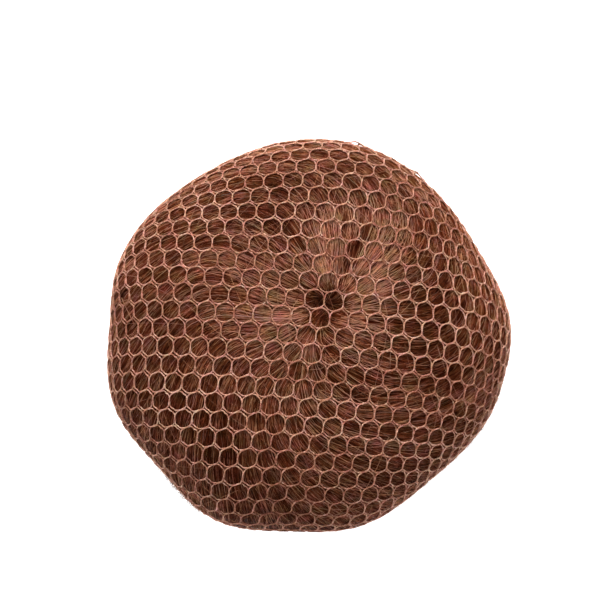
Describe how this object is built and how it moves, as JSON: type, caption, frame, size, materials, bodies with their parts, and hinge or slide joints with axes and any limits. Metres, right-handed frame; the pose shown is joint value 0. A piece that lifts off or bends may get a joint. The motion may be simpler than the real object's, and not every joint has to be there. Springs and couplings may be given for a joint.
{
  "type": "hair net on a bun pad",
  "caption": "Fine hexagonal-mesh hair net gathered on an elastic band and drawn over a round bun pad dressed with spiral locks of hair, lying on its flat back.",
  "frame": {"origin": "middle of the bun's outline seen from the front, at the level of its flat back", "axes": "+Z runs from the flat back to the crown, +X to the right and +Y to the top of the crown as the picture shows it"},
  "size_m": [0.0957, 0.093, 0.0499],
  "materials": {
    "net_yarn": "fine two-ply twisted yarn with a soft sheen",
    "elastic": "thin covered elastic cord",
    "hair": "straight combed hair, satin"
  },
  "bodies": {
    "root": {"hair_net": "net_yarn", "elastic_band": "elastic", "hair_pad": "hair"}
  },
  "joints": []
}
